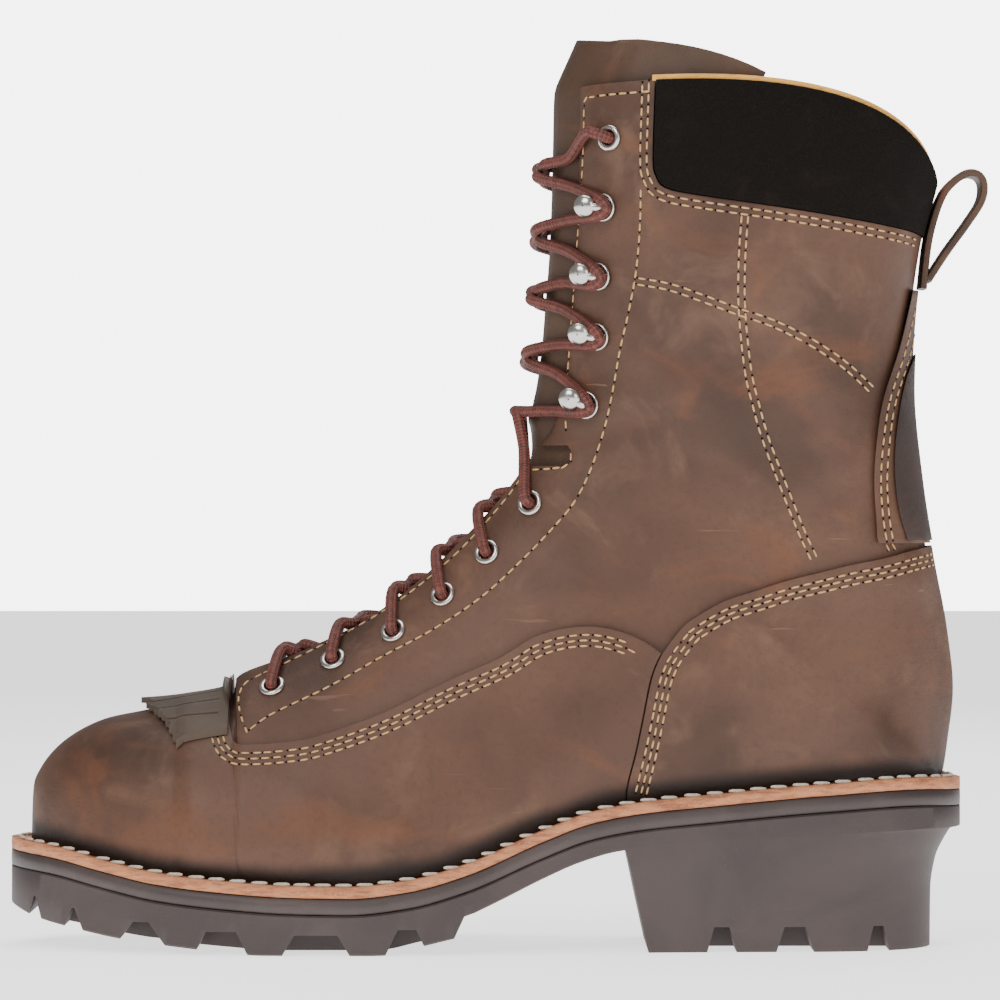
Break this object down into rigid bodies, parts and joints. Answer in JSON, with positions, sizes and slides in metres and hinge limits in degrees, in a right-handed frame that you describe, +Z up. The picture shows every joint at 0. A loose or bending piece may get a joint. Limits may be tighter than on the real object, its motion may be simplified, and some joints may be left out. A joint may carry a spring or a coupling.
{
  "type": "logger boot",
  "caption": "Left logger boot with a tall laced leather shaft, padded collar, fringed kiltie and a lugged sole with a slanted heel",
  "frame": {"origin": "middle of the boot's length and width, on the floor under the tread and the heel", "axes": "+X along the boot from toe to heel, +Y to the inner side of the left foot, +Z up"},
  "size_m": [0.3244, 0.1106, 0.2995],
  "materials": {
    "upper": "oiled brown leather, pulled up and scuffed",
    "kiltie": "greyer brown leather, dry, with cut edges",
    "collar": "black napped leather",
    "outsole": "dark brown rubber, matt",
    "midsole": "dark brown rubber, smooth",
    "welt": "tan leather with a pale stitch",
    "insole": "plain tan leather",
    "metal": "bright nickel plate",
    "lace": "round braided cord, reddish brown with dark flecks"
  },
  "bodies": {
    "root": {"outsole": "outsole", "midsole": "midsole", "welt": "welt", "insole": "insole", "upper": "upper", "vamp": "upper", "counter": "upper", "backstay": "upper", "collar": "collar", "tongue": "upper", "kiltie": "kiltie", "pull_loop": "upper", "eyelet_outer_1": "metal", "eyelet_inner_1": "metal", "eyelet_outer_2": "metal", "eyelet_inner_2": "metal", "eyelet_outer_3": "metal", "eyelet_inner_3": "metal", "eyelet_outer_4": "metal", "eyelet_inner_4": "metal", "eyelet_outer_5": "metal", "eyelet_inner_5": "metal", "eyelet_outer_6": "metal", "eyelet_inner_6": "metal", "eyelet_outer_7": "metal", "eyelet_inner_7": "metal", "hook_outer_1": "metal", "hook_inner_1": "metal", "hook_outer_2": "metal", "hook_inner_2": "metal", "hook_outer_3": "metal", "hook_inner_3": "metal", "hook_outer_4": "metal", "hook_inner_4": "metal", "lace_01": "lace", "lace_02": "lace", "lace_03": "lace", "lace_04": "lace", "lace_05": "lace", "lace_06": "lace", "lace_07": "lace", "lace_08": "lace", "lace_09": "lace", "lace_10": "lace"}
  },
  "joints": []
}
